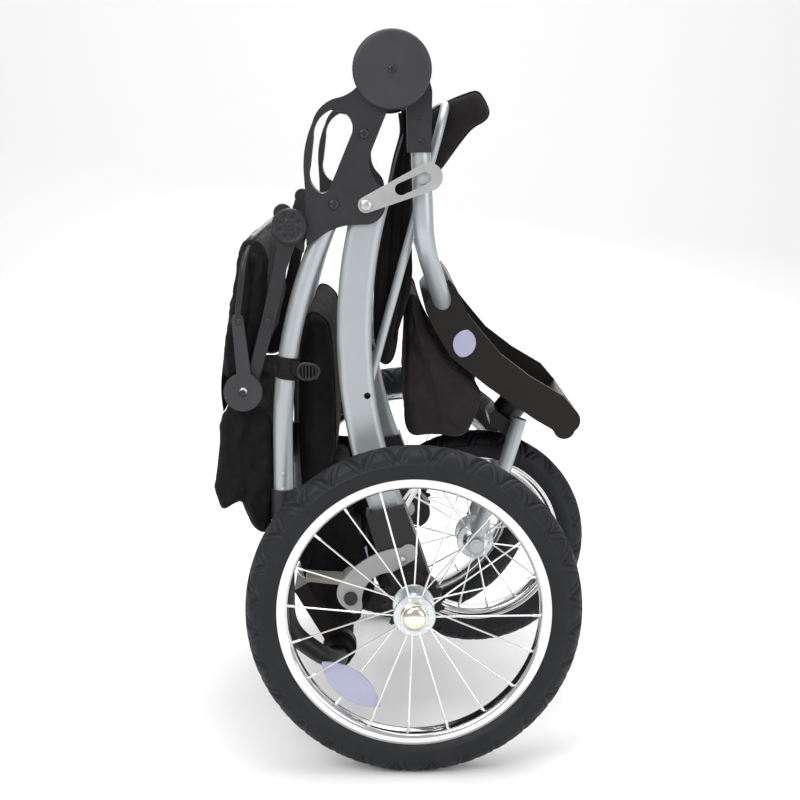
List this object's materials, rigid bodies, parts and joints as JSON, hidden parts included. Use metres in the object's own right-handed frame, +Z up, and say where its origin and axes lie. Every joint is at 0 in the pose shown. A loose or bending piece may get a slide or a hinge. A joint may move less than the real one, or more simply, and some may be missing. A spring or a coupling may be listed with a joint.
{
  "type": "jogging stroller",
  "caption": "Folded three-wheeled jogging stroller with spoked air-tyred wheels, silver tube frame, black fabric seat and canopy, and a hinged folding frame.",
  "frame": {"origin": "bottom centre of the folded stroller's bounding box, on the floor", "axes": "+X towards the stroller's front, +Z up, the stroller's right-hand side at -Y"},
  "size_m": [0.4778, 0.668, 0.876],
  "materials": {
    "silver_tube": "satin silver paint",
    "black_tube": "gloss black paint",
    "dark_plastic": "fine moulded texture",
    "tray_plastic": "satin moulded",
    "chrome_rim": "polished",
    "spoke_steel": "bright wire",
    "hub_metal": "turned",
    "plain_steel": "zinc plated",
    "rotor_black": "black",
    "tyre_rubber": "moulded tread",
    "foam_grip": "foam",
    "clear_lens": "prismatic lens",
    "black_fabric": "woven polyester"
  },
  "bodies": {
    "rear_frame": {"rear_leg_right": "silver_tube", "rear_leg_left": "silver_tube", "leg_socket_right": "dark_plastic", "leg_socket_left": "dark_plastic", "rear_stub_axles": "plain_steel", "brake_plates": "plain_steel", "seat_pivots": "dark_plastic", "rear_crossbar": "black_tube", "storage_basket": "black_fabric"},
    "rear_wheel_right": {"tyre_rear_right": "tyre_rubber", "rim_rear_right": "chrome_rim", "hub_rear_right": "hub_metal", "spokes_rear_right": "spoke_steel", "brake_rotor_right": "rotor_black", "spoke_reflector_right": "clear_lens"},
    "rear_wheel_left": {"tyre_rear_left": "tyre_rubber", "rim_rear_left": "chrome_rim", "hub_rear_left": "hub_metal", "spokes_rear_left": "spoke_steel", "brake_rotor_left": "rotor_black", "spoke_reflector_left": "clear_lens"},
    "brake_pedal": {"brake_pedal": "tray_plastic"},
    "handle_frame": {"side_bracket_right": "dark_plastic", "side_bracket_left": "dark_plastic", "handle_tube_right": "silver_tube", "handle_tube_left": "silver_tube", "fold_disc_right": "dark_plastic", "fold_disc_left": "dark_plastic", "bracket_fasteners": "plain_steel", "tube_joints": "dark_plastic", "handlebar_tube": "black_tube", "handlebar_grip": "foam_grip", "parent_console": "tray_plastic", "seat_back": "black_fabric", "canopy_ratchets": "dark_plastic"},
    "canopy_base": {"canopy_base_arms": "dark_plastic", "canopy_rear": "black_fabric"},
    "canopy_bow": {"canopy_bow_arms": "dark_plastic", "canopy_bow": "black_tube", "canopy_hood": "black_fabric"},
    "front_frame": {"front_leg_right": "silver_tube", "front_leg_left": "silver_tube", "front_sleeve_right": "dark_plastic", "front_sleeve_left": "dark_plastic", "footrest": "tray_plastic", "footrest_reflectors": "clear_lens", "steering_head": "black_tube", "calf_panel": "black_fabric", "latch_stud": "plain_steel"},
    "fork": {"fork_crown": "black_tube", "fork_blades": "silver_tube", "front_axle": "plain_steel"},
    "front_wheel": {"tyre_front": "tyre_rubber", "rim_front": "chrome_rim", "hub_front": "hub_metal", "spokes_front": "spoke_steel"},
    "swivel_lock": {"swivel_lock": "tray_plastic"},
    "transport_latch": {"transport_latch": "plain_steel"},
    "seat": {"seat_tube": "silver_tube", "seat_pad": "black_fabric"}
  },
  "joints": [
    {"name": "handle_fold", "type": "hinge", "parent": "rear_frame", "child": "handle_frame", "pos_m": [-0.0546, 0, 0.6745], "axis": [0, 1, 0], "range_deg": [0, 84]},
    {"name": "front_leg_fold", "type": "hinge", "parent": "handle_frame", "child": "front_frame", "pos_m": [-0.0239, 0, 0.83], "axis": [0, -1, 0], "range_deg": [0, 165.4]},
    {"name": "seat_fold", "type": "hinge", "parent": "rear_frame", "child": "seat", "pos_m": [-0.0539, 0, 0.446], "axis": [0, 1, 0], "range_deg": [0, 32]},
    {"name": "rear_wheel_right_spin", "type": "hinge", "parent": "rear_frame", "child": "rear_wheel_right", "pos_m": [0.0011, -0.296, 0.2], "axis": [0, 1, 0], "continuous": true},
    {"name": "rear_wheel_left_spin", "type": "hinge", "parent": "rear_frame", "child": "rear_wheel_left", "pos_m": [0.0011, 0.296, 0.2], "axis": [0, 1, 0], "continuous": true},
    {"name": "fork_swivel", "type": "hinge", "parent": "front_frame", "child": "fork", "pos_m": [0.1311, 0, 0.383], "axis": [0.6157, 0, 0.788], "range_deg": [-40, 40]},
    {"name": "front_wheel_spin", "type": "hinge", "parent": "fork", "child": "front_wheel", "pos_m": [0.0904, 0, 0.2108], "axis": [0, 1, 0], "continuous": true},
    {"name": "brake_pedal_press", "type": "hinge", "parent": "rear_frame", "child": "brake_pedal", "pos_m": [-0.0749, -0.166, 0.2], "axis": [0, -1, 0], "range_deg": [0, 18]},
    {"name": "canopy_base_tilt", "type": "hinge", "parent": "handle_frame", "child": "canopy_base", "pos_m": [-0.1439, 0, 0.649], "axis": [0, 1, 0], "range_deg": [0, 35]},
    {"name": "canopy_bow_hinge", "type": "hinge", "parent": "canopy_base", "child": "canopy_bow", "pos_m": [-0.2019, 0, 0.453], "axis": [0, -1, 0], "range_deg": [0, 80]},
    {"name": "latch_swing", "type": "hinge", "parent": "handle_frame", "child": "transport_latch", "pos_m": [-0.0546, -0.233, 0.6745], "axis": [0, 1, 0], "range_deg": [0, 60]},
    {"name": "swivel_lock_pull", "type": "slide", "parent": "front_frame", "child": "swivel_lock", "axis": [0, 1, 0], "range_m": [0, 0.006]}
  ],
  "couplings": [
    {"joint": "front_leg_fold", "follows": "handle_fold", "ratio": 1.969},
    {"joint": "seat_fold", "follows": "handle_fold", "ratio": 0.38095}
  ]
}
